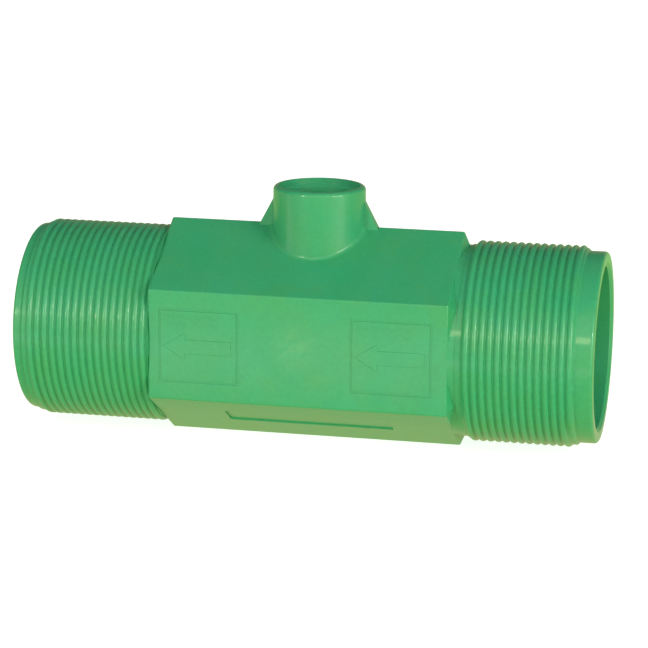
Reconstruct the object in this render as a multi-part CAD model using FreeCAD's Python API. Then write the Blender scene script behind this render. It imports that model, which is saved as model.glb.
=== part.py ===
"""Turbine flow meter with two male pipe threads, a hexagonal body and an open sensor port.

Units are millimetres. X is the pipe axis: the flow comes in at +X and leaves at -X, as the
arrows on the body say. Z is up, through the sensor port. The origin is on the pipe axis, at
the middle of the body. Pieces that come in pairs are built for the +X end and turned half a
turn about Z for the -X end.
"""
import FreeCAD, Part
import math
import os
from FreeCAD import Vector

os.makedirs("parts", exist_ok=True)

# ---- moulded body ----
overall_length = 173.0
hex_length = 88.8
hex_flats = 56.7             # across flats, one flat faces the front
hex_edge_round = 0.7
hex_slope_length = 2.3       # the hexagon's ends slope in to the spigots
hex_slope_drop = 4.5         # of the flats, over that length
nose_step = 0.27             # the plain spigots are this far below the thread's root
nose_round = 1.0

thread_pitch = 2.309         # 2 inch parallel pipe thread, 11 turns per inch
thread_crest_radius = 29.8
thread_height = 1.2          # crest over root
thread_flank_deg = 27.5
thread_crest_round = 0.15    # how far the crest is domed
inlet_neck = 2.5             # from the hexagon to the thread
outlet_neck = 0.23
inlet_chamfer = 0.4          # how slowly the first turn rises to its full height
outlet_chamfer = 1.2
inlet_nose = 5.2             # plain length before the thread
outlet_nose = 2.5

bore_radius = 24.2
bore_chamfer = 0.9
chamber_radius = 22.0
chamber_half_length = 26.0

# ---- sensor port ----
port_x = 0.6                 # the port's axis stands a little towards the inlet
boss_radius = 13.75          # at the rim
boss_draft_deg = 0.6
boss_top = 44.5
boss_rim_round = 1.2
boss_foot_round = 1.6
port_radius = 10.9
port_floor_wall = 2.6        # between the port and the rotor chamber
port_seat_radius = 12.2
port_seat_depth = 1.6
port_seat_chamfer = 0.9

# ---- gussets beside the boss ----
gusset_thickness = 2.7
gusset_reach = 4.0           # beyond the boss wall, along the top ridge
gusset_drop = 4.2            # below the rim

# ---- marks on the front face ----
panel_width = 24.1
panel_height = 22.2
panel_offset = 28.7          # from the middle of the body
panel_shift = 0.6            # of both, towards the outlet
panel_line_width = 0.7
panel_line_depth = 0.25
panel_rise = 0.12            # of the field inside the line
arrow_length = 20.5
arrow_head_length = 6.6
arrow_head_height = 8.2
arrow_shaft_height = 4.2
arrow_shift = 0.4            # towards the outlet
arrow_drop = 0.2             # below the panel's centre
arrow_rise = 0.38
arrow_round = 0.15
wave_count = 4
wave_length = 4.0
wave_height = 0.5
wave_stroke = 0.7
wave_rise = 0.27
wave_shift = 2.4             # towards the outlet
wave_rows = (6.2, 8.3)       # heights of the wave lines above the panel's centre
pip_radius = 0.5
pip_rise = 0.25
pip_place = (-15.95, -8.5)   # x and z on the front face
gate_radius = 3.2
gate_depth = 0.22
gate_place = (-0.8, 1.0)     # x and z on the front face

# ---- recess on the lower front facet ----
recess_length = 49.8
recess_offset = 1.4          # along X
recess_from_edge = 9.6       # from the front edge of the facet
recess_width = 9.8
recess_depth = 0.9

# ---- flow straighteners ----
gasket_thickness = 1.0
ring_length = 18.0
vane_length = 15.0
inlet_vanes = 6
outlet_vanes = 4
vane_thickness = 1.5
hub_radius = 8.0
hub_bore_radius = 5.0
hub_end = 12.5               # |x| of the hub's end beside the rotor
seat_clearance = 0.1         # radial, between pieces that don't move on each other

# ---- retaining rings in their grooves ----
circlip_thickness = 1.6
circlip_inner_radius = 22.3
circlip_groove_depth = 1.4
circlip_gap_deg = 34.0
circlip_lug_radius = 2.3
circlip_eye_radius = 0.9

# ---- cones ----
cone_length = 16.0
cone_tip_radius = 1.6
cone_stem_length = 7.5
cone_slot_width = 1.2
cone_slot_depth = 1.4

# ---- dowels that stop the straighteners from turning ----
dowel_radius = 0.7
dowel_length = 8.0
dowel_depth = 3.5            # in the body
dowel_angle_deg = 30.0       # from the top, about X

# ---- bearings ----
shaft_radius = 1.5
shaft_half_length = 21.0
shaft_end_round = 0.4
running_clearance = 0.05     # radial
end_float = 0.1
bush_radius = 3.0
bush_length = 7.0
end_stone_length = 2.4
cartridge_length = 22.0
cartridge_slot_width = 1.2
cartridge_slot_depth = 1.5

# ---- rotor ----
rotor_hub_radius = 8.0
rotor_hub_half_length = 11.0
rotor_blades = 6
blade_half_length = 9.0
blade_thickness = 2.4
blade_tip_gap = 0.8          # to the chamber wall
blade_tip_angle_deg = 34.0   # from the pipe axis, at the tip
blade_sections = 7
rotor_edge_round = 0.5
magnet_thickness = 1.3
magnet_width = 4.0
magnet_depth = 3.2
magnet_clearance = 0.06
collar_radius = 3.4
collar_length = 1.0
washer_radius = 3.8
washer_thickness = 0.7
washer_gap = 0.08

# ---- values that follow ----
half_length = overall_length / 2
thread_root_radius = thread_crest_radius - thread_height
nose_radius = thread_root_radius - nose_step
hex_half_length = hex_length / 2
inlet_panel = panel_offset - panel_shift
outlet_panel = -panel_offset - panel_shift
hex_apothem = hex_flats / 2
hex_corner_radius = hex_apothem / math.cos(math.radians(30))
ring_start = chamber_half_length + gasket_thickness
ring_end = ring_start + ring_length
vane_start = ring_start + (ring_length - vane_length) / 2
circlip_start = ring_end + seat_clearance
circlip_groove_start = ring_end
circlip_groove_length = circlip_thickness + 2 * seat_clearance
hub_far_end = ring_end + 1.0
blade_tip_radius = chamber_radius - blade_tip_gap
rotor_face = rotor_hub_half_length + collar_length
washer_start = rotor_face + washer_gap
bush_start = washer_start + washer_thickness + end_float
end_stone_start = shaft_half_length + end_float
bush_end = bush_start + bush_length
AXIS_X = Vector(1, 0, 0)
AXIS_Z = Vector(0, 0, 1)
ORIGIN = Vector(0, 0, 0)


# ---- helpers ----
def rod(radius, start, end):
    """A cylinder along X from start to end."""
    return Part.makeCylinder(radius, end - start, Vector(start, 0, 0), AXIS_X)


def tube(outer, inner, start, end):
    """A sleeve along X."""
    return rod(outer, start, end).cut(rod(inner, start - 1, end + 1))


def revolve_x(points):
    """A solid of revolution about X from (x, radius) points."""
    corners = [Vector(x, 0, r) for x, r in points]
    face = Part.Face(Part.makePolygon(corners + corners[:1]))
    return face.revolve(ORIGIN, AXIS_X, 360)


def prism(corners, direction):
    """A straight prism from a closed list of corners."""
    return Part.Face(Part.makePolygon(corners + corners[:1])).extrude(direction)


def turned_to_outlet(shape):
    """The same piece at the -X end, turned half a turn about Z."""
    other = shape.copy()
    other.rotate(ORIGIN, AXIS_Z, 180)
    return other


def fuse_all(first, others):
    """One clean solid from a list of overlapping ones."""
    return first.fuse(others).removeSplitter()


def write(name, shape):
    """Save one named piece."""
    shape.exportStep("parts/" + name + ".step")


# ---- moulded body ----
def hexagon(x, apothem):
    """The six corners of a hexagon across X, with one corner on top."""
    radius = apothem / math.cos(math.radians(30))
    angles = [math.radians(60 * step + 90) for step in range(6)]
    return [Vector(x, radius * math.cos(angle), radius * math.sin(angle)) for angle in angles]


def hexagonal_middle():
    """The hexagon with its sloping ends, all edges but the two buried ones rounded."""
    tip = hex_half_length + hex_slope_length
    small = hex_apothem - hex_slope_drop
    rows = [hexagon(-tip, small), hexagon(-hex_half_length, hex_apothem),
            hexagon(hex_half_length, hex_apothem), hexagon(tip, small)]
    loops = [rows[0][::-1], rows[3]]
    for near, far in zip(rows, rows[1:]):
        for step in range(6):
            after = (step + 1) % 6
            loops.append([near[step], near[after], far[after], far[step]])
    faces = [Part.Face(Part.makePolygon(loop + loop[:1])) for loop in loops]
    block = Part.makeSolid(Part.makeShell(faces))
    shown = [edge for edge in block.Edges if abs(edge.CenterOfMass.x) < tip - 0.01]
    return block.makeFillet(hex_edge_round, shown)


def spigot(neck, nose_length):
    """The plain spigot at the +X end, thicker under its thread."""
    thread_start = hex_half_length + neck
    thread_end = half_length - nose_length
    core = revolve_x([
        (hex_half_length - 4, 0),
        (hex_half_length - 4, nose_radius),
        (thread_start - nose_step / 2, nose_radius),
        (thread_start, thread_root_radius),
        (thread_end - nose_step, thread_root_radius),
        (thread_end, nose_radius),
        (half_length, nose_radius),
        (half_length, 0),
    ])
    rim = [edge for edge in core.Edges if edge.BoundBox.XMin > half_length - 0.01]
    return core.makeFillet(nose_round, rim)


def thread_ridge(neck, nose_length, chamfer):
    """The right-hand ridge of the pipe thread at the +X end, with its first turn chamfered."""
    start = hex_half_length + neck + thread_pitch / 2
    end = half_length - nose_length - thread_pitch / 2
    sunk = 0.1
    base = thread_pitch / 2 - 0.035
    slope = math.tan(math.radians(thread_flank_deg))
    foot = thread_root_radius - sunk
    shoulder = thread_crest_radius - thread_crest_round
    half_shoulder = base - (shoulder - foot) * slope
    a = Vector(foot, 0, -base)
    b = Vector(shoulder, 0, -half_shoulder)
    crest = Vector(thread_crest_radius, 0, 0)
    c = Vector(shoulder, 0, half_shoulder)
    d = Vector(foot, 0, base)
    edges = [Part.LineSegment(a, b), Part.Arc(b, crest, c), Part.LineSegment(c, d), Part.LineSegment(d, a)]
    profile = Part.Wire([edge.toShape() for edge in edges])
    helix = Part.makeLongHelix(thread_pitch, end - start, thread_root_radius, 0, False)
    ridge = Part.Wire(helix.Edges).makePipeShell([profile], True, True)
    ridge.rotate(ORIGIN, Vector(0, 1, 0), 90)
    ridge.translate(Vector(start, 0, 0))
    tip = end + thread_pitch / 2
    rise = thread_crest_radius - foot
    cutter = revolve_x([
        (tip - chamfer * rise, thread_crest_radius + 0.5),
        (tip - chamfer * rise, thread_crest_radius),
        (tip, foot),
        (tip + 2, foot),
        (tip + 2, thread_crest_radius + 0.5),
    ])
    return ridge.cut(cutter)


def sensor_boss():
    """The boss's drafted wall, from inside the hexagon to its rim."""
    foot_z = hex_corner_radius / 2
    foot_radius = boss_radius + (boss_top - foot_z) * math.tan(math.radians(boss_draft_deg))
    return Part.makeCone(foot_radius, boss_radius, boss_top - foot_z, Vector(port_x, 0, foot_z), AXIS_Z)


def boss_foot_edges(shape):
    """The edges where the boss meets the upper facets and the top ridge."""
    found = []
    widest = boss_radius + 1
    for edge in shape.Edges:
        reach = max(math.hypot(vertex.X - port_x, vertex.Y) for vertex in edge.Vertexes)
        low = edge.BoundBox.ZMin > hex_corner_radius / 2
        if low and reach < widest and edge.BoundBox.ZMax < hex_corner_radius:
            found.append(edge)
    return found


def gusset(side):
    inner = port_x + side * (boss_radius - 2)
    outer = port_x + side * (boss_radius + gusset_reach)
    foot = hex_corner_radius - 3
    corners = [
        Vector(inner, -gusset_thickness / 2, foot),
        Vector(outer + side * 1.5, -gusset_thickness / 2, foot),
        Vector(outer, -gusset_thickness / 2, hex_corner_radius),
        Vector(port_x + side * boss_radius, -gusset_thickness / 2, boss_top - gusset_drop),
        Vector(inner, -gusset_thickness / 2, boss_top - gusset_drop),
    ]
    return prism(corners, Vector(0, gusset_thickness, 0))


def port_hollow():
    floor = chamber_radius + port_floor_wall
    hollow = Part.makeCylinder(port_radius, boss_top - floor + 1, Vector(port_x, 0, floor), AXIS_Z)
    seat_floor = boss_top - port_seat_depth
    seat = Part.makeCylinder(port_seat_radius, port_seat_depth + 1, Vector(port_x, 0, seat_floor), AXIS_Z)
    lead = Part.makeCone(port_radius, port_radius + port_seat_chamfer, port_seat_chamfer,
                         Vector(port_x, 0, seat_floor - port_seat_chamfer), AXIS_Z)
    return hollow.fuse([seat, lead])


def flow_bore():
    """Everything that the bore removes: mouths, seats, ring grooves and the rotor chamber."""
    pieces = []
    chamber = rod(chamber_radius, -chamber_half_length - 1, chamber_half_length + 1)
    mouth = rod(bore_radius, chamber_half_length, half_length + 1)
    chamfer = revolve_x([
        (half_length - bore_chamfer, bore_radius - 1),
        (half_length - bore_chamfer, bore_radius),
        (half_length + 1, bore_radius + bore_chamfer + 1),
        (half_length + 1, bore_radius - 1),
    ])
    groove = rod(bore_radius + circlip_groove_depth, circlip_groove_start,
                 circlip_groove_start + circlip_groove_length)
    for piece in (mouth, chamfer, groove, dowel_shape(seat_clearance)):
        pieces.append(piece)
        pieces.append(turned_to_outlet(piece))
    return chamber.fuse(pieces)


def front_frame(centre_x):
    """The engraved line round one panel on the front face."""
    front = -hex_apothem - 1
    depth = 1 + panel_line_depth
    outer = Part.makeBox(panel_width, depth, panel_height,
                         Vector(centre_x - panel_width / 2, front, -panel_height / 2))
    inside = panel_line_width
    inner = Part.makeBox(panel_width - 2 * inside, depth, panel_height - 2 * inside,
                         Vector(centre_x - panel_width / 2 + inside, front, -panel_height / 2 + inside))
    return outer.cut(inner)


def panel_field(centre_x):
    """The slightly raised field inside the engraved line."""
    inside = 2 * panel_line_width
    return Part.makeBox(panel_width - inside, panel_rise + 0.2, panel_height - inside,
                        Vector(centre_x - (panel_width - inside) / 2, -hex_apothem - panel_rise,
                               -(panel_height - inside) / 2))


def softened(mark, front):
    """A raised mark with its front edges rounded."""
    edges = [edge for edge in mark.Edges if edge.BoundBox.YMax < front + 0.01]
    return mark.makeFillet(arrow_round, edges)


def flow_arrow(centre_x):
    """A raised arrow that points downstream, towards -X."""
    front = -hex_apothem + 0.2
    tip = centre_x - arrow_shift - arrow_length / 2
    neck = tip + arrow_head_length
    tail = tip + arrow_length
    outline = [
        (tip, 0), (neck, arrow_head_height / 2), (neck, arrow_shaft_height / 2),
        (tail, arrow_shaft_height / 2), (tail, -arrow_shaft_height / 2),
        (neck, -arrow_shaft_height / 2), (neck, -arrow_head_height / 2),
    ]
    corners = [Vector(x, front, z - arrow_drop) for x, z in outline]
    arrow = prism(corners, Vector(0, -arrow_rise - 0.2, 0))
    return softened(arrow, -hex_apothem - arrow_rise)


def wave_line(centre_x, height):
    """A raised wavy stroke, the plain sign for a liquid."""
    start = centre_x - wave_shift - wave_count * wave_length / 2
    front = -hex_apothem + 0.2
    upper = []
    lower = []
    steps = 8 * wave_count
    for step in range(steps + 1):
        x = start + wave_count * wave_length * step / steps
        z = height + wave_height * math.sin(2 * math.pi * (x - start) / wave_length)
        upper.append(Vector(x, front, z + wave_stroke / 2))
        lower.append(Vector(x, front, z - wave_stroke / 2))
    top = Part.BSplineCurve()
    top.interpolate(upper)
    bottom = Part.BSplineCurve()
    bottom.interpolate(lower)
    sides = [Part.makeLine(upper[0], lower[0]), Part.makeLine(upper[-1], lower[-1])]
    outline = Part.Wire(Part.sortEdges([top.toShape(), bottom.toShape()] + sides)[0])
    return Part.Face(outline).extrude(Vector(0, -wave_rise - 0.2, 0))


def pip():
    """The small raised pip beside the outlet panel."""
    x, z = pip_place
    return Part.makeCylinder(pip_radius, pip_rise + 0.2, Vector(x, -hex_apothem + 0.2, z), Vector(0, -1, 0))


def gate_dimple():
    """The shallow round dimple of the mould's gate, in the middle of the front face."""
    sphere_radius = (gate_radius ** 2 + gate_depth ** 2) / (2 * gate_depth)
    x, z = gate_place
    return Part.makeSphere(sphere_radius, Vector(x, -hex_apothem - sphere_radius + gate_depth, z))


def facet_recess():
    """The long shallow recess, laid out on the front face and turned onto the lower facet."""
    across = hex_corner_radius / 2 - recess_from_edge
    block = Part.makeBox(recess_length, recess_depth + 2, recess_width,
                         Vector(recess_offset - recess_length / 2, -hex_apothem - 2, across - recess_width))
    short = [edge for edge in block.Edges if edge.BoundBox.XLength + edge.BoundBox.ZLength < 0.01]
    block = block.makeFillet(1.0, short)
    block.rotate(ORIGIN, AXIS_X, 60)
    return block


def body():
    shell = hexagonal_middle().fuse(sensor_boss()).removeSplitter()
    shell = shell.makeFillet(boss_foot_round, boss_foot_edges(shell))
    rim = [edge for edge in shell.Edges if edge.BoundBox.ZMin > boss_top - 0.01]
    shell = shell.makeFillet(boss_rim_round, rim)
    outlet_spigot = turned_to_outlet(spigot(outlet_neck, outlet_nose))
    shell = shell.fuse([gusset(1), gusset(-1), spigot(inlet_neck, inlet_nose), outlet_spigot])
    shell = shell.cut([flow_bore(), port_hollow(), facet_recess(), gate_dimple(),
                       front_frame(inlet_panel), front_frame(outlet_panel)])
    marks = [pip(), panel_field(inlet_panel), panel_field(outlet_panel)]
    for centre in (inlet_panel, outlet_panel):
        marks.append(flow_arrow(centre))
        for height in wave_rows:
            marks.append(wave_line(centre, height))
    ridges = [thread_ridge(inlet_neck, inlet_nose, inlet_chamfer),
              turned_to_outlet(thread_ridge(outlet_neck, outlet_nose, outlet_chamfer))]
    return shell.fuse(marks + ridges)


# ---- what the bore holds ----
def dowel_shape(extra):
    """A dowel across the shoulder, between the body and the straightener's ring."""
    middle_radius = (chamber_radius + bore_radius) / 2
    angle = math.radians(dowel_angle_deg)
    start = chamber_half_length - dowel_depth - extra
    place = Vector(start, middle_radius * math.sin(angle), middle_radius * math.cos(angle))
    return Part.makeCylinder(dowel_radius + extra, dowel_length + 2 * extra, place, AXIS_X)


def seat_gasket():
    ring = tube(bore_radius - seat_clearance, chamber_radius, chamber_half_length, ring_start)
    return ring.cut(dowel_shape(seat_clearance))


def straightener(vanes):
    ring = tube(bore_radius - seat_clearance, chamber_radius, ring_start, ring_end)
    ring = ring.cut(dowel_shape(seat_clearance))
    hub = rod(hub_radius, hub_end, hub_far_end)
    plates = []
    for step in range(vanes):
        plate = Part.makeBox(vane_length, vane_thickness, chamber_radius - hub_radius + 1,
                             Vector(vane_start, -vane_thickness / 2, hub_radius - 0.5))
        plate.rotate(ORIGIN, AXIS_X, 360 * step / vanes)
        plates.append(plate)
    whole = fuse_all(ring, [hub] + plates)
    return whole.cut(rod(hub_bore_radius, hub_end - 1, hub_far_end + 1))


def cone():
    """A bullet-shaped cone that carries the flow round the hub, with its stem and tool slot."""
    base = hub_far_end
    tip = base + cone_length
    shoulder = Vector(base, 0, hub_radius)
    middle = Vector(base + cone_length * 0.58, 0, hub_radius * 0.72)
    end = Vector(tip, 0, cone_tip_radius)
    nose = Part.Arc(shoulder, middle, end).toShape()
    outline = Part.Wire([
        Part.makeLine(Vector(base, 0, 0), shoulder), nose,
        Part.makeLine(end, Vector(tip, 0, 0)), Part.makeLine(Vector(tip, 0, 0), Vector(base, 0, 0)),
    ])
    bullet = Part.Face(outline).revolve(ORIGIN, AXIS_X, 360)
    stem = rod(hub_bore_radius - seat_clearance, base - cone_stem_length, base + 0.5)
    slot = Part.makeBox(cone_slot_depth + 1, 2 * hub_radius, cone_slot_width,
                        Vector(tip - cone_slot_depth, -hub_radius, -cone_slot_width / 2))
    return bullet.fuse(stem).cut(slot)


def circlip():
    """A split retaining ring with two eyed lugs, in its groove in the bore."""
    outer = bore_radius + circlip_groove_depth - seat_clearance
    end = circlip_start + circlip_thickness
    ring = tube(outer, circlip_inner_radius, circlip_start, end)
    lug_centre = circlip_inner_radius - 0.4
    eyes = []
    for side in (1, -1):
        angle = math.radians(270 + side * (circlip_gap_deg / 2 + 6))
        place = Vector(circlip_start, lug_centre * math.cos(angle), lug_centre * math.sin(angle))
        ring = ring.fuse(Part.makeCylinder(circlip_lug_radius, circlip_thickness, place, AXIS_X))
        eyes.append(Part.makeCylinder(circlip_eye_radius, circlip_thickness + 2,
                                      place - Vector(1, 0, 0), AXIS_X))
    reach = 2 * outer
    left = math.radians(270 - circlip_gap_deg / 2)
    right = math.radians(270 + circlip_gap_deg / 2)
    wedge = prism([
        Vector(circlip_start - 1, 0, 0),
        Vector(circlip_start - 1, reach * math.cos(left), reach * math.sin(left)),
        Vector(circlip_start - 1, reach * math.cos(right), reach * math.sin(right)),
    ], Vector(circlip_thickness + 2, 0, 0))
    return ring.cut([wedge] + eyes)


def bearing_cartridge():
    """The carrier in the hub, with a pocket for the bush and the end stone."""
    end = bush_start + cartridge_length
    carrier = rod(hub_bore_radius - seat_clearance, bush_start, end)
    pocket = rod(bush_radius + seat_clearance, bush_start - 1, end_stone_start + end_stone_length)
    slot = Part.makeBox(cartridge_slot_depth + 1, 2 * hub_radius, cartridge_slot_width,
                        Vector(end - cartridge_slot_depth, -hub_radius, -cartridge_slot_width / 2))
    return carrier.cut([pocket, slot])


def bearing_bush():
    return tube(bush_radius, shaft_radius + running_clearance, bush_start, bush_end)


def end_stone():
    return rod(bush_radius, end_stone_start, end_stone_start + end_stone_length)


# ---- what turns ----
def rotor_shaft():
    shaft = rod(shaft_radius, -shaft_half_length, shaft_half_length)
    ends = [edge for edge in shaft.Edges if edge.BoundBox.XLength < 0.01]
    return shaft.makeFillet(shaft_end_round, ends)


def blade_lead():
    """Axial length in which a blade would wind once round the hub."""
    return 2 * math.pi * blade_tip_radius / math.tan(math.radians(blade_tip_angle_deg))


def blade():
    """One helical blade, lofted through turned rectangles."""
    sections = []
    low = rotor_hub_radius - 1.5
    high = blade_tip_radius + 1.5
    for step in range(blade_sections):
        x = -blade_half_length + 2 * blade_half_length * step / (blade_sections - 1)
        width = blade_thickness / math.cos(math.radians(blade_tip_angle_deg * 0.8)) / 2
        corners = [Vector(x, -width, low), Vector(x, width, low), Vector(x, width, high), Vector(x, -width, high)]
        outline = Part.makePolygon(corners + corners[:1])
        outline.rotate(ORIGIN, AXIS_X, 360 * x / blade_lead())
        sections.append(outline)
    wing = Part.makeLoft(sections, True, False)
    return wing.common(rod(blade_tip_radius, -blade_half_length, blade_half_length))


def magnet(extra):
    """One bar magnet in a blade's tip, turned to the blade's angle there."""
    top = blade_tip_radius - 0.25 + (1.5 if extra else 0)
    bottom = blade_tip_radius - 0.25 - magnet_depth - extra
    bar = Part.makeBox(magnet_width + 2 * extra, magnet_thickness + 2 * extra, top - bottom,
                       Vector(-magnet_width / 2 - extra, -magnet_thickness / 2 - extra, bottom))
    bar.rotate(ORIGIN, AXIS_Z, -blade_tip_angle_deg)
    return bar


def round_the_rotor(shape):
    """Copies of a shape, one for each blade."""
    copies = []
    for step in range(rotor_blades):
        copy = shape.copy()
        copy.rotate(ORIGIN, AXIS_X, 360 * step / rotor_blades)
        copies.append(copy)
    return copies


def turbine_rotor():
    hub = rod(rotor_hub_radius, -rotor_hub_half_length, rotor_hub_half_length)
    hub = hub.makeFillet(rotor_edge_round, [edge for edge in hub.Edges if edge.BoundBox.XLength < 0.01])
    wheel = hub.fuse(round_the_rotor(blade()))
    wheel = wheel.cut(round_the_rotor(magnet(magnet_clearance)))
    return wheel.cut(rod(shaft_radius, -half_length, half_length))


def shaft_collar():
    return tube(collar_radius, shaft_radius, rotor_hub_half_length, rotor_face)


def thrust_washer():
    return tube(washer_radius, shaft_radius + running_clearance, washer_start,
                washer_start + washer_thickness)


# ---- pieces ----
write("body", body())
write("turbine_rotor", turbine_rotor())
write("rotor_magnets", Part.makeCompound(round_the_rotor(magnet(0))))
write("rotor_shaft", rotor_shaft())
write("inlet_straightener", straightener(inlet_vanes))
write("outlet_straightener", turned_to_outlet(straightener(outlet_vanes)))
for name, shape in (
    ("nose_cone", cone()),
    ("retaining_ring", circlip()),
    ("seat_gasket", seat_gasket()),
    ("locating_dowel", dowel_shape(0)),
    ("bearing_cartridge", bearing_cartridge()),
    ("bearing_bush", bearing_bush()),
    ("end_stone", end_stone()),
    ("thrust_washer", thrust_washer()),
    ("shaft_collar", shaft_collar()),
):
    write("inlet_" + name, shape)
    write("outlet_" + name, turned_to_outlet(shape))
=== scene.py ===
"""Dresses the turbine flow meter: moulded green body, vaned supports, rotor and bearings.

Lengths are metres. X is the pipe axis and the flow comes in at +X. Z is up, through the sensor
port.
"""
import math

import bmesh
import bpy
from mathutils import Matrix, Quaternion, Vector


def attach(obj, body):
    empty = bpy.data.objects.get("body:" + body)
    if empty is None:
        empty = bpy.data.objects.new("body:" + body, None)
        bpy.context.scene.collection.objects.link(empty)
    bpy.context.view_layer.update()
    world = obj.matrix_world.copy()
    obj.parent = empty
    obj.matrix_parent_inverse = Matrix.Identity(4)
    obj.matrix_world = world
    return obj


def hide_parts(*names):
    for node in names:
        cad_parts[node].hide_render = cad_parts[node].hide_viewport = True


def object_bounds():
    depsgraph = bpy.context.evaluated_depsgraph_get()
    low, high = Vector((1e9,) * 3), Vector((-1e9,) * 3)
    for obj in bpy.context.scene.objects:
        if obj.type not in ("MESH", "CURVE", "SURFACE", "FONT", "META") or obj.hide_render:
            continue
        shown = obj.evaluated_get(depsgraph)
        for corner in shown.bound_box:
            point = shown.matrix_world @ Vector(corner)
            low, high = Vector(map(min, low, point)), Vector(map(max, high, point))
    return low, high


bl_info = {
    "name": "Turbine Flow Meter",
    "version": (1, 0, 0),
    "blender": (4, 5, 0),
    "location": "View3D > Sidebar > Flow Meter",
    "description": "Dresses a turbine flow meter in moulded plastic, steel, ceramic and rubber",
    "category": "Object",
}

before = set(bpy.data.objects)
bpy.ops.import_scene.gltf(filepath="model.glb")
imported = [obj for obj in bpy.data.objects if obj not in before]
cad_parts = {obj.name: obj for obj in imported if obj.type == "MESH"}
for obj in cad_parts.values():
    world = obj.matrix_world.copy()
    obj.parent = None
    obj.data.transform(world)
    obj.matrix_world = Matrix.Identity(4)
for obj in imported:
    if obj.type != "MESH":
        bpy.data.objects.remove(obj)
CAD_LOW, CAD_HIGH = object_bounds()
METER = "meter_body"
ENDS = ("inlet", "outlet")

SHARP_TURN = math.radians(28)    # an edge of the body that turns more is sharp
SHARP_RIDGE = math.radians(50)   # the same on a thread ridge
RIDGE_FOOT = 0.0001              # how far a ridge reaches into the spigot under it
RIDGE_GAP = 0.000035             # half the gap between two turns of a ridge
WORN_REACH = 1.0 + math.sin(math.radians(27.5))  # how far a worn edge reaches, over its wear
RUN_IN = 0.0005                  # length of the slope where the grooves begin
RUN_IN_OFFSET = 0.0003           # how far past the ridge's start that slope begins
NOSE_STEPS = 8                   # faces on the round of a nose
MARK_REACH = (0.0435, 0.0006, 0.0155)  # half the box that holds the marks on the front flat
RECESS_REACH = (0.03, 0.012)     # half the length and half the height that hold the recess
RECESS_FLOOR = (0.0006, 0.0012)  # least and greatest depth of the recess's floor
COAT_ROUGHNESS = 0.12            # roughness of the polished skin
STREAK_TILT = math.radians(42)   # slant of the streaks round the gate
STREAK_SIZE = (0.0017, 0.008, 0.0055)  # width, depth and length of those streaks
# paler green round the gate: the gate's flow streaks, and a painted highlight where the flat
# catches the lamps
GATE_STREAK_AND_HIGHLIGHT_COLOUR = (0.12, 0.42, 0.20, 1)


# ---- sizes and colours ----
class ThreadSizes(bpy.types.PropertyGroup):
    pitch: bpy.props.FloatProperty(
        name="Pitch", description="Length of one turn",
        default=0.002309, unit="LENGTH", precision=6)
    crest_radius: bpy.props.FloatProperty(
        name="Crest Radius", description="Outside radius of the thread",
        default=CAD_HIGH[1], unit="LENGTH", precision=5)
    root_radius: bpy.props.FloatProperty(
        name="Root Radius", description="Radius at the bottom of the moulded grooves",
        default=0.02905, unit="LENGTH", precision=5)
    run_in_radius: bpy.props.FloatProperty(
        name="Run-in Radius", description="Radius of the spigot where the thread begins",
        default=0.0286, unit="LENGTH", precision=5)
    crest_round: bpy.props.FloatProperty(
        name="Crest Round", description="How far the crest is domed",
        default=0.00042, unit="LENGTH", precision=6)
    wear: bpy.props.FloatProperty(
        name="Wear", description="Width of the softened edges of the crest",
        default=0.0001, unit="LENGTH", precision=6)
    flank: bpy.props.FloatProperty(
        name="Flank", description="Angle of a flank from the radius",
        default=math.radians(38), unit="ROTATION")
    segments: bpy.props.IntProperty(
        name="Segments", description="Faces round one turn", default=72, min=24)
    inlet_start: bpy.props.FloatProperty(
        name="Inlet Start", description="Where the inlet ridge starts, along the pipe axis",
        default=0.0480545, unit="LENGTH", precision=6)
    inlet_end: bpy.props.FloatProperty(
        name="Inlet End", description="Where the inlet ridge ends, along the pipe axis",
        default=0.0801455, unit="LENGTH", precision=6)
    outlet_start: bpy.props.FloatProperty(
        name="Outlet Start", description="Where the outlet ridge starts, from the middle",
        default=0.0434755, unit="LENGTH", precision=6)
    outlet_end: bpy.props.FloatProperty(
        name="Outlet End", description="Where the outlet ridge ends, from the middle",
        default=0.0828455, unit="LENGTH", precision=6)
    inlet_chamfer: bpy.props.FloatProperty(
        name="Inlet Chamfer", description="Run over rise of the inlet thread's first turn",
        default=0.4)
    outlet_chamfer: bpy.props.FloatProperty(
        name="Outlet Chamfer", description="Run over rise of the outlet thread's first turn",
        default=0.8)


class SpigotSizes(bpy.types.PropertyGroup):
    inlet_joint: bpy.props.FloatProperty(
        name="Inlet Joint", description="Where the inlet spigot takes over from the hexagon",
        default=0.0468, unit="LENGTH", precision=5)
    outlet_joint: bpy.props.FloatProperty(
        name="Outlet Joint", description="Where the outlet spigot takes over from the hexagon",
        default=0.0446, unit="LENGTH", precision=5)
    bore_radius: bpy.props.FloatProperty(
        name="Bore Radius", description="Radius of the mouth",
        default=0.0242, unit="LENGTH", precision=5)
    mouth_chamfer: bpy.props.FloatProperty(
        name="Mouth Chamfer", description="Chamfer inside the rim",
        default=0.0009, unit="LENGTH", precision=5)
    nose_radius: bpy.props.FloatProperty(
        name="Nose Radius", description="Radius of the plain end before the thread",
        default=0.02833, unit="LENGTH", precision=5)
    nose_round: bpy.props.FloatProperty(
        name="Nose Round", description="Round outside the rim",
        default=0.001, unit="LENGTH", precision=5)
    segments: bpy.props.IntProperty(
        name="Segments", description="Faces round the spigot", default=180, min=48)


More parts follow.
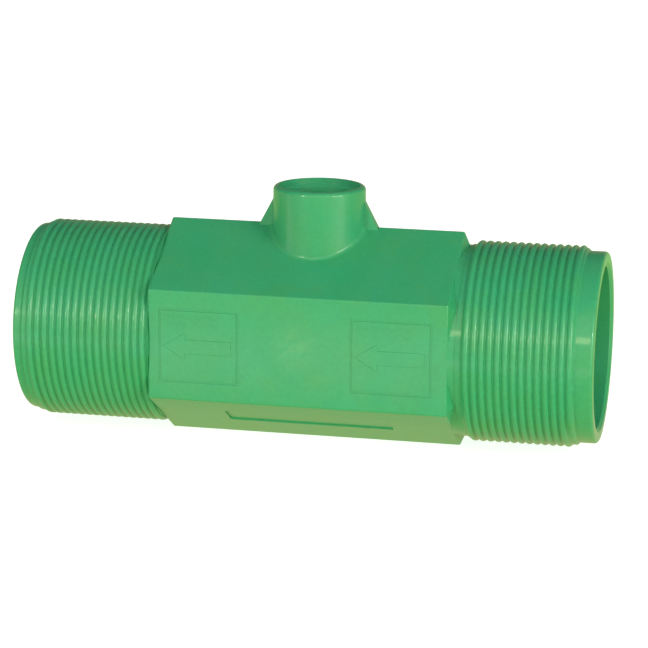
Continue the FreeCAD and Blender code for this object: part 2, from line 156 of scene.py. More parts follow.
class MarkSizes(bpy.types.PropertyGroup):
    flat: bpy.props.FloatProperty(
        name="Flat", description="Distance of the hexagon's flats from the pipe axis",
        default=0.02835, unit="LENGTH", precision=5)
    relief: bpy.props.FloatProperty(
        name="Relief", description="Share of their relief that the moulded marks keep",
        default=0.55, min=0.1, max=1)
    recess: bpy.props.FloatProperty(
        name="Recess", description="Share of its depth that the long recess keeps",
        default=0.5, min=0.1, max=1)
    gate_along: bpy.props.FloatProperty(
        name="Gate Along", description="Place of the moulding gate along the pipe axis",
        default=-0.0008, unit="LENGTH", precision=5)
    gate_up: bpy.props.FloatProperty(
        name="Gate Up", description="Height of the moulding gate above the pipe axis",
        default=0.001, unit="LENGTH", precision=5)


class BodyFinish(bpy.types.PropertyGroup):
    colour: bpy.props.FloatVectorProperty(
        name="Green", description="Colour of the moulded plastic", subtype="COLOR",
        size=4, min=0, max=1, default=(0.022, 0.345, 0.151, 1))
    cloud: bpy.props.FloatVectorProperty(
        name="Cloud", description="Paler green of the cloudy flow marks", subtype="COLOR",
        size=4, min=0, max=1, default=(0.033, 0.366, 0.184, 1))
    warm: bpy.props.FloatVectorProperty(
        name="Warm", description="Yellower green of the thin spots", subtype="COLOR",
        size=4, min=0, max=1, default=(0.049, 0.348, 0.120, 1))
    # the pale cloud round the gate is partly its flow streaks and partly a painted highlight
    gate_pale: bpy.props.FloatProperty(
        name="Gate Streaks And Highlight Share", description="Strength of the pale cloud round the moulding gate",
        default=0.5, min=0, max=1)
    gate_reach: bpy.props.FloatProperty(
        name="Gate Reach", description="How far the pale cloud spreads",
        default=0.0085, unit="LENGTH", precision=5)
    gloss: bpy.props.FloatProperty(
        name="Gloss", description="Weight of the polished skin over the plastic",
        default=0.45, min=0, max=1)
    roughness: bpy.props.FloatProperty(
        name="Roughness", description="Roughness of the moulded skin", default=0.46, min=0, max=1)


class InsideFinish(bpy.types.PropertyGroup):
    natural: bpy.props.FloatVectorProperty(
        name="Natural White", description="Colour of the vaned supports", subtype="COLOR",
        size=4, min=0, max=1, default=(0.72, 0.71, 0.66, 1))
    black: bpy.props.FloatVectorProperty(
        name="Black", description="Colour of the rotor", subtype="COLOR",
        size=4, min=0, max=1, default=(0.017, 0.017, 0.019, 1))
    grey: bpy.props.FloatVectorProperty(
        name="Dark Grey", description="Colour of the bearing cartridges", subtype="COLOR",
        size=4, min=0, max=1, default=(0.045, 0.048, 0.052, 1))
    steel: bpy.props.FloatVectorProperty(
        name="Steel", description="Colour of the shaft, collars and rings", subtype="COLOR",
        size=4, min=0, max=1, default=(0.52, 0.52, 0.51, 1))
    ruby: bpy.props.FloatVectorProperty(
        name="Ruby", description="Colour of the end stones", subtype="COLOR",
        size=4, min=0, max=1, default=(0.36, 0.006, 0.02, 1))


class StageSettings(bpy.types.PropertyGroup):
    left_lamp: bpy.props.FloatProperty(
        name="Left Lamp", description="Power of the lamp at the outlet side",
        default=2.8, unit="POWER")
    right_lamp: bpy.props.FloatProperty(
        name="Right Lamp", description="Power of the lamp at the inlet side",
        default=1.89, unit="POWER")
    low_lamp: bpy.props.FloatProperty(
        name="Low Lamp", description="Power of the warm lamp beside the camera",
        default=0.588, unit="POWER")
    side_lamp: bpy.props.FloatProperty(
        name="Side Lamp", description="Power of the lamp that looks into the inlet",
        default=5.5, unit="POWER")
    front_lamp: bpy.props.FloatProperty(
        name="Front Lamp", description="Power of the big soft lamp over the camera",
        default=2.0, unit="POWER")
    world: bpy.props.FloatProperty(
        name="Room Light", description="Strength of the room's own light", default=0.46, min=0)
    bounce: bpy.props.FloatVectorProperty(
        name="Bounce", description="Colour that the table throws back", subtype="COLOR",
        size=4, min=0, max=2, default=(0.88, 0.95, 0.38, 1))


# ---- node helpers ----
def socket(node, name, side="inputs"):
    """A node's socket by name, the enabled one where several share it."""
    found = [item for item in getattr(node, side) if item.name == name and item.enabled]
    if not found:
        raise RuntimeError(f"{node.bl_idname} has no socket {name}")
    return found[0]


def add(tree, kind, links=None, **values):
    """Adds a node, sets its properties and joins its inputs by name or place."""
    node = tree.nodes.new(kind)
    for key, value in values.items():
        setattr(node, key, value)
    for key, value in (links or {}).items():
        target = node.inputs[key] if isinstance(key, int) else socket(node, key)
        if isinstance(value, bpy.types.NodeSocket):
            tree.links.new(value, target)
        else:
            target.default_value = value
    return node


def maths(tree, operation, *values):
    """A Math node's result."""
    return add(tree, "ShaderNodeMath", dict(enumerate(values)), operation=operation).outputs[0]


def group_socket(tree, name, kind, side="INPUT", value=None):
    """Adds a socket to a node group, with its starting value."""
    made = tree.interface.new_socket(name=name, in_out=side, socket_type=kind)
    if value is not None:
        made.default_value = value
    return made


def mixed(tree, factor, first, second):
    """Two colours mixed by a factor."""
    node = tree.nodes.new("ShaderNodeMix")
    node.data_type = "RGBA"
    ends = [item for item in node.inputs if item.type == "RGBA" and item.enabled]
    for target, value in zip([node.inputs[0]] + ends, (factor, first, second)):
        if isinstance(value, bpy.types.NodeSocket):
            tree.links.new(value, target)
        else:
            target.default_value = value
    return [item for item in node.outputs if item.type == "RGBA"][0]


def noise(tree, vector, scale, detail=2.0, rough=0.5):
    """A noise texture's value."""
    return add(tree, "ShaderNodeTexNoise", {
        "Vector": vector, "Scale": scale, "Detail": detail, "Roughness": rough}).outputs[0]


def spread(tree, value, low, high, out_low=0.0, out_high=1.0):
    """A value stretched from one range to another and clamped."""
    return add(tree, "ShaderNodeMapRange", {
        "Value": value, "From Min": low, "From Max": high,
        "To Min": out_low, "To Max": out_high}).outputs[0]


# ---- shared shader effects ----
def moulded_skin():
    """Cloudy flow marks and a fine moulded grain, for any moulded plastic."""
    name = "Moulded Skin"
    if name in bpy.data.node_groups:
        return bpy.data.node_groups[name]
    tree = bpy.data.node_groups.new(name, "ShaderNodeTree")
    group_socket(tree, "Vector", "NodeSocketVector")
    group_socket(tree, "Colour", "NodeSocketColor", value=(0.5, 0.5, 0.5, 1))
    group_socket(tree, "Cloud", "NodeSocketColor", value=(0.6, 0.6, 0.6, 1))
    group_socket(tree, "Warm", "NodeSocketColor", value=(0.5, 0.5, 0.4, 1))
    group_socket(tree, "Roughness", "NodeSocketFloat", value=0.35)
    group_socket(tree, "Gate", "NodeSocketVector", value=(0, 0, 0))
    group_socket(tree, "Gate Reach", "NodeSocketFloat", value=0.008)
    group_socket(tree, "Gate Pale", "NodeSocketFloat", value=0.0)
    group_socket(tree, "Color", "NodeSocketColor", "OUTPUT")
    group_socket(tree, "Roughness", "NodeSocketFloat", "OUTPUT")
    group_socket(tree, "Height", "NodeSocketFloat", "OUTPUT")
    given = tree.nodes.new("NodeGroupInput")
    place = given.outputs["Vector"]
    broad = spread(tree, noise(tree, place, 75.0, 3.0, 0.55), 0.25, 0.8)
    drift = add(tree, "ShaderNodeVectorMath", {
        0: place, 1: (0.31, 0.17, 0.23)}, operation="ADD").outputs[0]
    thin = spread(tree, noise(tree, drift, 110.0, 2.0, 0.5), 0.36, 0.8, 0.0, 0.6)
    speck = noise(tree, place, 900.0, 2.0, 0.6)
    cloudy = mixed(tree, broad, given.outputs["Colour"], given.outputs["Cloud"])
    warmed = mixed(tree, thin, cloudy, given.outputs["Warm"])
    shade = spread(tree, speck, 0.3, 0.7, 0.955, 1.045)
    final = add(tree, "ShaderNodeVectorMath", {0: warmed}, operation="SCALE")
    tree.links.new(shade, final.inputs["Scale"])
    # the plastic shoots in at the gate and leaves slanting flow streaks there; their pale cloud is
    # also a painted highlight of the lamps on the flat round the gate
    away = add(tree, "ShaderNodeVectorMath", {
        0: place, 1: given.outputs["Gate"]}, operation="DISTANCE").outputs["Value"]
    share = maths(tree, "DIVIDE", away, given.outputs["Gate Reach"])
    slant = add(tree, "ShaderNodeMapping", {
        "Vector": place, "Rotation": (0.0, STREAK_TILT, 0.0), "Scale": STREAK_SIZE},
        vector_type="TEXTURE").outputs[0]
    streaks = spread(tree, noise(tree, slant, 1.0, 3.0, 0.6), 0.38, 0.66)
    # mask of the pale patch round the gate: flow streaks, and a painted highlight on the flat there
    cloud = maths(tree, "MULTIPLY", spread(tree, share, 0.1, 1.0, 1.0, 0.0), streaks)
    gate_streaked_and_highlighted = mixed(tree, maths(tree, "MULTIPLY", cloud, given.outputs["Gate Pale"]),
                  final.outputs[0], GATE_STREAK_AND_HIGHLIGHT_COLOUR)
    rough = maths(
        tree, "ADD", given.outputs["Roughness"], spread(tree, broad, 0.0, 1.0, -0.03, 0.05))
    fine = noise(tree, place, 1300.0, 1.0, 0.5)
    sink = noise(tree, place, 130.0, 1.0, 0.4)
    height = maths(
        tree, "ADD", maths(tree, "MULTIPLY", fine, 0.05), maths(tree, "MULTIPLY", sink, 0.4))
    out = tree.nodes.new("NodeGroupOutput")
    tree.links.new(gate_streaked_and_highlighted, out.inputs["Color"])
    tree.links.new(rough, out.inputs["Roughness"])
    tree.links.new(height, out.inputs["Height"])
    return tree


def turned_metal():
    """Fine lines round the pipe axis, as turning and grinding leave them."""
    name = "Turned Lines"
    if name in bpy.data.node_groups:
        return bpy.data.node_groups[name]
    tree = bpy.data.node_groups.new(name, "ShaderNodeTree")
    group_socket(tree, "Vector", "NodeSocketVector")
    group_socket(tree, "Colour", "NodeSocketColor", value=(0.5, 0.5, 0.5, 1))
    group_socket(tree, "Lines", "NodeSocketFloat", value=9000.0)
    group_socket(tree, "Roughness", "NodeSocketFloat", value=0.25)
    group_socket(tree, "Color", "NodeSocketColor", "OUTPUT")
    group_socket(tree, "Roughness", "NodeSocketFloat", "OUTPUT")
    group_socket(tree, "Height", "NodeSocketFloat", "OUTPUT")
    given = tree.nodes.new("NodeGroupInput")
    parts = add(tree, "ShaderNodeSeparateXYZ", {0: given.outputs["Vector"]})
    across = add(tree, "ShaderNodeCombineXYZ", {
        1: parts.outputs[1], 2: parts.outputs[2]}).outputs[0]
    radius = add(tree, "ShaderNodeVectorMath", {0: across}, operation="LENGTH").outputs["Value"]
    lined = add(tree, "ShaderNodeCombineXYZ", {
        0: maths(tree, "MULTIPLY", parts.outputs[0], given.outputs["Lines"]),
        1: maths(tree, "MULTIPLY", radius, given.outputs["Lines"])}).outputs[0]
    lines = noise(tree, lined, 1.0, 3.0, 0.6)
    smear = noise(tree, given.outputs["Vector"], 220.0, 2.0, 0.5)
    dull = spread(tree, smear, 0.35, 0.7, 0.86, 1.08)
    toned = add(tree, "ShaderNodeVectorMath", {0: given.outputs["Colour"]}, operation="SCALE")
    tree.links.new(
        maths(tree, "MULTIPLY", dull, spread(tree, lines, 0.3, 0.7, 0.92, 1.05)),
        toned.inputs["Scale"])
    rough = maths(
        tree, "ADD", given.outputs["Roughness"], spread(tree, smear, 0.3, 0.7, -0.05, 0.09))
    out = tree.nodes.new("NodeGroupOutput")
    tree.links.new(toned.outputs[0], out.inputs["Color"])
    tree.links.new(rough, out.inputs["Roughness"])
    tree.links.new(lines, out.inputs["Height"])
    return tree


def material(name, group, inputs, bump, distance, metallic=0.0, ior=1.5, coat=0.0):
    """A finish made of one shared effect and a Principled shader."""
    made = bpy.data.materials.new(name)
    made.use_nodes = True
    tree = made.node_tree
    tree.nodes.clear()
    place = add(tree, "ShaderNodeTexCoord").outputs["Object"]
    effect = tree.nodes.new("ShaderNodeGroup")
    effect.node_tree = group
    tree.links.new(place, effect.inputs["Vector"])
    for key, value in inputs.items():
        effect.inputs[key].default_value = value
    shader = tree.nodes.new("ShaderNodeBsdfPrincipled")
    shader.inputs["Metallic"].default_value = metallic
    shader.inputs["IOR"].default_value = ior
    shader.inputs["Coat Weight"].default_value = coat
    shader.inputs["Coat Roughness"].default_value = COAT_ROUGHNESS
    tree.links.new(effect.outputs["Color"], shader.inputs["Base Color"])
    tree.links.new(effect.outputs["Roughness"], shader.inputs["Roughness"])
    relief = add(tree, "ShaderNodeBump", {
        "Strength": bump, "Distance": distance, "Height": effect.outputs["Height"]})
    tree.links.new(relief.outputs[0], shader.inputs["Normal"])
    out = tree.nodes.new("ShaderNodeOutputMaterial")
    tree.links.new(shader.outputs[0], out.inputs[0])
    made.diffuse_color = inputs["Colour"]
    return made


def paler(colour, factor):
    """The same colour, lighter or darker."""
    return tuple(min(1.0, value * factor) for value in colour[:3]) + (1.0,)


def moulded(name, colour, roughness, cloud=None, warm=None, bump=0.25, distance=0.00012,
            ior=1.5, coat=0.0, gate=None):
    """A moulded plastic, ceramic or rubber, with a pale cloud at its gate where it is given one:
    flow streaks with a painted highlight.
    """
    return material(name, moulded_skin(), {
        "Colour": colour, "Cloud": cloud or paler(colour, 1.12),
        "Warm": warm or paler(colour, 0.92), "Roughness": roughness, **(gate or {})},
        bump, distance, ior=ior, coat=coat)


# ---- mesh helpers ----
def finish_object(name, mesh, body, node, finish):
    """Puts a finished mesh in the scene in place of a CAD node."""
    made = bpy.data.objects.new(name, mesh)
    bpy.context.scene.collection.objects.link(made)
    mesh.materials.clear()
    mesh.materials.append(finish)
    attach(made, body)
    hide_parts(node)
    return made


def dress(node, finish):
    """Gives a CAD node its finish."""
    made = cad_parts[node]
    for place in range(len(made.data.materials)):
        made.data.materials[place] = finish
    if not made.data.materials:
        made.data.materials.append(finish)


def mark_sharp(work, angle):
    """Smooth faces, with an edge sharp where its faces turn by more than the angle."""
    for face in work.faces:
        face.smooth = True
    for edge in work.edges:
        edge.smooth = len(edge.link_faces) == 2 and edge.calc_face_angle(0.0) < angle


def cut_and_cap(work, x, keep_low):
    """Cuts a closed mesh across the pipe axis and closes the cut."""
    side = 1.0 if keep_low else -1.0
    cut = bmesh.ops.bisect_plane(
        work, geom=work.verts[:] + work.edges[:] + work.faces[:], dist=1e-7,
        plane_co=(x, 0, 0), plane_no=(side, 0, 0), clear_outer=True)
    rim = [item for item in cut["geom_cut"] if isinstance(item, bmesh.types.BMEdge)]
    rim = [edge for edge in rim if edge.is_valid and len(edge.link_faces) == 1]
    bmesh.ops.triangle_fill(work, use_beauty=True, edges=rim, normal=(side, 0, 0))


def soften_marks(work, marks):
    """Makes the relief of the front marks and of the long recess shallower."""
    flat = marks.flat
    mark_along, mark_rise, mark_up = MARK_REACH
    recess_along, recess_across = RECESS_REACH
    shallow, deep = RECESS_FLOOR
    facet = Vector((0.0, -0.5, -math.sqrt(0.75)))
    for vert in work.verts:
        rise = -vert.co.y - flat
        along = abs(vert.co.x)
        if abs(rise) < mark_rise and abs(vert.co.z) < mark_up and along < mark_along:
            vert.co.y = -flat - rise * marks.relief
        depth = flat - vert.co.dot(facet)
        across = vert.co.y * facet.z - vert.co.z * facet.y
        if shallow < depth < deep and abs(across) < recess_across and along < recess_along:
            vert.co += facet * depth * (1.0 - marks.recess)


def hexagon_from_cad(sizes, marks):
    """The hexagon, the boss and their marks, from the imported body, without the spigots."""
    work = bmesh.new()
    work.from_mesh(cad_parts["body"].data)
    bmesh.ops.remove_doubles(work, verts=work.verts[:], dist=2e-6)
    soften_marks(work, marks)
    cut_and_cap(work, sizes.inlet_joint, True)
    cut_and_cap(work, -sizes.outlet_joint, False)
    bmesh.ops.dissolve_degenerate(work, edges=work.edges[:], dist=1e-7)
    mark_sharp(work, SHARP_TURN)
    return work


def spigot(joint, sizes, thread, thread_start, thread_end):
    """The plain turned part of a spigot, from the joint to its rim, as a closed ring."""
    tip = CAD_HIGH[0]
    thread_tip = thread_end + thread.pitch / 2
    outline = [(joint, sizes.bore_radius), (tip - sizes.mouth_chamfer, sizes.bore_radius),
               (tip, sizes.bore_radius + sizes.mouth_chamfer)]
    centre_x = tip - sizes.nose_round
    centre_r = sizes.nose_radius - sizes.nose_round
    for step in range(NOSE_STEPS + 1):
        turn = math.pi / 2 * step / NOSE_STEPS
        outline.append((centre_x + sizes.nose_round * math.cos(turn),
                        centre_r + sizes.nose_round * math.sin(turn)))
    outline.append((thread_tip, sizes.nose_radius))
    outline.append((thread_tip - thread.root_radius + sizes.nose_radius, thread.root_radius))
    full_from = max(thread_start + RUN_IN_OFFSET, joint) + RUN_IN
    outline.append((full_from, thread.root_radius))
    outline.append((full_from - RUN_IN, thread.run_in_radius))
    outline.append((joint, thread.run_in_radius))
    work = bmesh.new()
    rings = []
    for step in range(sizes.segments):
        angle = 2 * math.pi * step / sizes.segments
        across, up = math.cos(angle), math.sin(angle)
        rings.append([work.verts.new((x, r * across, r * up)) for x, r in outline])
    count = len(outline)
    for ring, after in zip(rings, rings[1:] + rings[:1]):
        for step in range(count):
            follow = (step + 1) % count
            work.faces.new((ring[step], ring[follow], after[follow], after[step]))
    bmesh.ops.recalc_face_normals(work, faces=work.faces[:])
    mark_sharp(work, SHARP_TURN)
    return work


def ridge_tree():
    """The helical ridge of a pipe thread as a closed tube, by its own rule."""
    tree = bpy.data.node_groups.new("Thread Ridge", "GeometryNodeTree")
    group_socket(tree, "Geometry", "NodeSocketGeometry", "OUTPUT")
    for name, value in (("Pitch", 0.0023), ("Root Radius", 0.028), ("Crest Radius", 0.03),
                        ("Crest Round", 0.0002), ("Wear", 0.0001), ("Flank", 0.48),
                        ("Start", 0.05), ("End", 0.08), ("Chamfer", 1.0), ("Fade", 0.05)):
        group_socket(tree, name, "NodeSocketFloat", value=value)
    group_socket(tree, "Segments", "NodeSocketInt", value=72)
    group_socket(tree, "Columns", "NodeSocketInt", value=10)
    group_socket(tree, "Finish", "NodeSocketMaterial")
    given = tree.nodes.new("NodeGroupInput").outputs
    run = maths(tree, "SUBTRACT", given["End"], given["Start"])
    turns = maths(tree, "DIVIDE", run, given["Pitch"])
    rows = maths(tree, "CEIL", maths(tree, "MULTIPLY", turns, given["Segments"]))
    grid = add(tree, "GeometryNodeMeshGrid", {
        "Size X": 1.0, "Size Y": 1.0, "Vertices X": maths(tree, "ADD", given["Columns"], 1.0),
        "Vertices Y": maths(tree, "ADD", rows, 1.0)})
    place = add(tree, "ShaderNodeSeparateXYZ", {
        0: tree.nodes.new("GeometryNodeInputPosition").outputs[0]})
    across = maths(tree, "ADD", place.outputs[0], 0.5)
    along = maths(tree, "ADD", place.outputs[1], 0.5)
    foot = maths(tree, "SUBTRACT", given["Root Radius"], RIDGE_FOOT)
    base = maths(tree, "SUBTRACT", maths(tree, "DIVIDE", given["Pitch"], 2.0), RIDGE_GAP)
    slope = maths(tree, "TANGENT", given["Flank"])
    shoulder = maths(tree, "SUBTRACT", given["Crest Radius"], given["Crest Round"])
    flank_rise = maths(tree, "SUBTRACT", shoulder, foot)
    half = maths(tree, "SUBTRACT", base, maths(tree, "MULTIPLY", flank_rise, slope))
    bend = maths(tree, "DIVIDE",
                 maths(tree, "ADD", maths(tree, "MULTIPLY", half, half),
                       maths(tree, "MULTIPLY", given["Crest Round"], given["Crest Round"])),
                 maths(tree, "MULTIPLY", given["Crest Round"], 2.0))
    # columns: the foot, the flank under the worn edge, the crest, and the same back;
    # the last closes the tube
    column = maths(tree, "MULTIPLY", across, given["Columns"])
    last = maths(tree, "SUBTRACT", given["Columns"], 1.0)
    crest_share = maths(
        tree, "DIVIDE", maths(tree, "SUBTRACT", column, 2.0), maths(tree, "SUBTRACT", last, 4.0))
    crest_side = maths(tree, "MULTIPLY", maths(tree, "SUBTRACT", crest_share, 0.5), 2.0)
    flat = maths(tree, "SUBTRACT", half, given["Wear"])
    held = maths(tree, "MINIMUM", maths(tree, "MAXIMUM", crest_side, -1.0), 1.0)
    on_crest = maths(tree, "MULTIPLY", held, flat)
    worn = maths(tree, "MULTIPLY", given["Wear"], WORN_REACH)
    low_part = maths(tree, "SUBTRACT", base, maths(tree, "ADD", flat, worn))
    side_steps = (
        (maths(tree, "LESS_THAN", column, 1.5), -1.0, worn),
        (maths(tree, "LESS_THAN", column, 0.5), -1.0, low_part),
        (maths(tree, "GREATER_THAN", column, maths(tree, "SUBTRACT", last, 1.5)), 1.0, worn),
        (maths(tree, "GREATER_THAN", column, maths(tree, "SUBTRACT", last, 0.5)), 1.0, low_part),
        (maths(tree, "GREATER_THAN", column, maths(tree, "ADD", last, 0.5)), -2.0, base),
    )
    offset = on_crest
    for where, sign, width in side_steps:
        step = maths(tree, "MULTIPLY", maths(tree, "MULTIPLY", where, sign), width)
        offset = maths(tree, "ADD", offset, step)
    flank_r = maths(tree, "ADD", foot, maths(
        tree, "DIVIDE", maths(tree, "SUBTRACT", base, maths(tree, "ABSOLUTE", offset)), slope))
    inner = maths(tree, "MAXIMUM", maths(tree, "SUBTRACT", maths(tree, "MULTIPLY", bend, bend),
                                         maths(tree, "MULTIPLY", offset, offset)), 0.0)
    arc_centre = maths(tree, "SUBTRACT", given["Crest Radius"], bend)
    arc_r = maths(tree, "ADD", arc_centre, maths(tree, "SQRT", inner))
    outside = maths(tree, "GREATER_THAN", maths(tree, "ABSOLUTE", offset), half)
    crest_r = maths(tree, "MINIMUM", flank_r, maths(tree, "ADD", arc_r, outside))
    # both ends fade into the spigot
    ends = maths(tree, "MULTIPLY",
                 maths(tree, "MINIMUM", maths(tree, "SUBTRACT", 1.0, along), along), turns)
    fade = maths(tree, "MINIMUM", maths(tree, "DIVIDE", ends, given["Fade"]), 1.0)
    x = maths(tree, "ADD", maths(tree, "ADD", given["Start"], maths(tree, "MULTIPLY", along, run)),
              maths(tree, "MULTIPLY", offset, fade))
    tip = maths(tree, "ADD", given["End"], maths(tree, "DIVIDE", given["Pitch"], 2.0))
    to_tip = maths(tree, "DIVIDE", maths(tree, "SUBTRACT", tip, x), given["Chamfer"])
    cone = maths(tree, "ADD", foot, maths(tree, "MAXIMUM", to_tip, 0.0))
    radius = maths(tree, "MINIMUM", cone, maths(tree, "ADD", foot, maths(
        tree, "MULTIPLY", maths(tree, "SUBTRACT", crest_r, foot), fade)))
    angle = maths(tree, "MULTIPLY", maths(tree, "MULTIPLY", along, turns), 2 * math.pi)
    y = maths(tree, "MULTIPLY", radius, maths(tree, "SINE", angle))
    z = maths(tree, "MULTIPLY", maths(tree, "MULTIPLY", radius, maths(tree, "COSINE", angle)), -1.0)
    moved = add(tree, "GeometryNodeSetPosition", {
        "Geometry": grid.outputs["Mesh"],
        "Position": add(tree, "ShaderNodeCombineXYZ", {0: x, 1: y, 2: z}).outputs[0]})
    closed = add(tree, "GeometryNodeMergeByDistance", {
        "Geometry": moved.outputs[0], "Distance": 1e-6})
    real = add(tree, "GeometryNodeRealizeInstances", {"Geometry": closed.outputs[0]})
    painted = add(tree, "GeometryNodeSetMaterial", {
        "Geometry": real.outputs[0], "Material": given["Finish"]})
    out = tree.nodes.new("NodeGroupOutput")
    tree.links.new(painted.outputs[0], out.inputs["Geometry"])
    return tree


def made_by_nodes(name, tree, values):
    """The plain mesh that a Geometry Nodes tree makes from the values given by socket name."""
    holder = bpy.data.objects.new(name, bpy.data.meshes.new(name))
    bpy.context.scene.collection.objects.link(holder)
    modifier = holder.modifiers.new(name, "NODES")
    modifier.node_group = tree
    for item in tree.interface.items_tree:
        if item.in_out == "INPUT" and item.name in values:
            modifier[item.identifier] = values[item.name]
    depsgraph = bpy.context.evaluated_depsgraph_get()
    mesh = bpy.data.meshes.new_from_object(holder.evaluated_get(depsgraph))
    holder.modifiers.remove(modifier)
    bpy.data.objects.remove(holder)
    return mesh


def thread_ridge(tree, thread, start, end, chamfer, joint, finish):
    """One thread ridge, cut at the joint with the hexagon."""
    mesh = made_by_nodes("thread", tree, {
        "Pitch": thread.pitch, "Root Radius": thread.root_radius,
        "Crest Radius": thread.crest_radius, "Crest Round": thread.crest_round,
        "Wear": thread.wear, "Flank": thread.flank, "Start": start, "End": end,
        "Chamfer": chamfer, "Segments": thread.segments, "Finish": finish})
    work = bmesh.new()
    work.from_mesh(mesh)
    bpy.data.meshes.remove(mesh)
    bmesh.ops.remove_doubles(work, verts=work.verts[:], dist=1e-6)
    bmesh.ops.recalc_face_normals(work, faces=work.faces[:])
    cut_and_cap(work, joint, False)
    mark_sharp(work, SHARP_RIDGE)
    return work


def joined(name, pieces):
    """One mesh from several bmesh pieces, each with its own turn."""
    whole = bmesh.new()
    for work, turn in pieces:
        bmesh.ops.transform(work, matrix=turn, verts=work.verts[:])
        part = bpy.data.meshes.new("part")
        work.to_mesh(part)
        work.free()
        whole.from_mesh(part)
        bpy.data.meshes.remove(part)
    mesh = bpy.data.meshes.new(name)
    whole.to_mesh(mesh)
    whole.free()
    return mesh


def weigh_normals(made):
    """Keeps flat faces flat beside their rounds."""
    modifier = made.modifiers.new("Weighted Normals", "WEIGHTED_NORMAL")
    modifier.keep_sharp = True
    modifier.weight = 90
    modifier.mode = "FACE_AREA_WITH_ANGLE"


# ---- operators ----
class FLOW_OT_shell(bpy.types.Operator):
    """Makes the moulded body with its two threaded spigots"""
    bl_idname = "flow_meter.shell"
    bl_label = "Moulded Body"

    def execute(self, context):
        scene = context.scene
        sizes, thread, look = scene.flow_spigots, scene.flow_threads, scene.flow_body_finish
        marks = scene.flow_marks
        # the gate's pale cloud paints a highlight as well as the flow streaks
        finish = moulded(
            "green_plastic", tuple(look.colour), look.roughness, tuple(look.cloud),
            tuple(look.warm), coat=look.gloss, gate={
                "Gate": (marks.gate_along, -marks.flat, marks.gate_up),
                "Gate Reach": look.gate_reach, "Gate Pale": look.gate_pale})
        tree = ridge_tree()
        half_turn = Matrix.Rotation(math.pi, 4, "Z")
        straight = Matrix.Identity(4)
        inlet = (thread.inlet_start, thread.inlet_end)
        outlet = (thread.outlet_start, thread.outlet_end)
        mesh = joined("meter_shell", [
            (hexagon_from_cad(sizes, marks), straight),
            (spigot(sizes.inlet_joint, sizes, thread, *inlet), straight),
            (spigot(sizes.outlet_joint, sizes, thread, *outlet), half_turn),
            (thread_ridge(tree, thread, *inlet, thread.inlet_chamfer,
                          sizes.inlet_joint, finish), straight),
            (thread_ridge(tree, thread, *outlet, thread.outlet_chamfer,
                          sizes.outlet_joint, finish), half_turn),
        ])
        made = finish_object("meter_shell", mesh, METER, "body", finish)
        weigh_normals(made)
        return {"FINISHED"}


class FLOW_OT_supports(bpy.types.Operator):
    """Finishes the flow straighteners, their cones, gaskets, dowels and retaining rings"""
    bl_idname = "flow_meter.supports"
    bl_label = "Supports"

    def execute(self, context):
        look = context.scene.flow_inside_finish
        natural = moulded("natural_plastic", tuple(look.natural), 0.42)
        rubber = moulded("gasket_rubber", (0.012, 0.012, 0.012, 1), 0.7, bump=0.5)
        spring = material("spring_steel", turned_metal(), {
            "Colour": paler(tuple(look.steel), 0.85), "Lines": 6000.0, "Roughness": 0.32},
            0.12, 0.00002, metallic=1.0)
        ground = material("ground_steel", turned_metal(), {
            "Colour": tuple(look.steel), "Lines": 14000.0, "Roughness": 0.2},
            0.1, 0.00001, metallic=1.0)
        for end in ENDS:
            dress(end + "_straightener", natural)
            dress(end + "_nose_cone", natural)
            dress(end + "_seat_gasket", rubber)
            dress(end + "_retaining_ring", spring)
            dress(end + "_locating_dowel", ground)
        return {"FINISHED"}


class FLOW_OT_bearings(bpy.types.Operator):
    """Finishes the bearing cartridges, bushes and end stones"""
    bl_idname = "flow_meter.bearings"
    bl_label = "Bearings"

    def execute(self, context):
        look = context.scene.flow_inside_finish
        grey = moulded("cartridge_plastic", tuple(look.grey), 0.38)
        ceramic = moulded("bush_ceramic", (0.80, 0.79, 0.75, 1), 0.16, bump=0.05)
        ruby = moulded("end_stone_ruby", tuple(look.ruby), 0.06, bump=0.02, ior=1.76)
        for end in ENDS:
            dress(end + "_bearing_cartridge", grey)
            dress(end + "_bearing_bush", ceramic)
            dress(end + "_end_stone", ruby)
        return {"FINISHED"}


class FLOW_OT_rotor(bpy.types.Operator):
    """Finishes the bladed rotor, its magnets, shaft, collars and washers"""
    bl_idname = "flow_meter.rotor"
    bl_label = "Rotor"

    def execute(self, context):
        look = context.scene.flow_inside_finish
        black = moulded("rotor_plastic", tuple(look.black), 0.36)
        magnet = moulded("sintered_magnet", (0.075, 0.075, 0.08, 1), 0.5, bump=0.4)
        washer = moulded("washer_plastic", (0.78, 0.77, 0.72, 1), 0.3, bump=0.1)
        ground = bpy.data.materials["ground_steel"]
        dress("turbine_rotor", black)
        dress("rotor_magnets", magnet)
        dress("rotor_shaft", ground)
        for end in ENDS:
            dress(end + "_shaft_collar", ground)
            dress(end + "_thrust_washer", washer)
        return {"FINISHED"}


def area_lamp(name, azimuth, elevation, distance, size, power, colour):
    """A soft lamp that looks at the middle of the meter."""
    light = bpy.data.lights.new(name, "AREA")
    light.shape = "DISK"
    light.size = size
    light.energy = power
    light.color = colour
    made = bpy.data.objects.new(name, light)
    bpy.context.scene.collection.objects.link(made)
    flat = math.cos(elevation)
    made.location = distance * Vector((
        math.sin(azimuth) * flat, -math.cos(azimuth) * flat, math.sin(elevation)))
    made.rotation_euler = (-made.location).to_track_quat("-Z", "Y").to_euler()


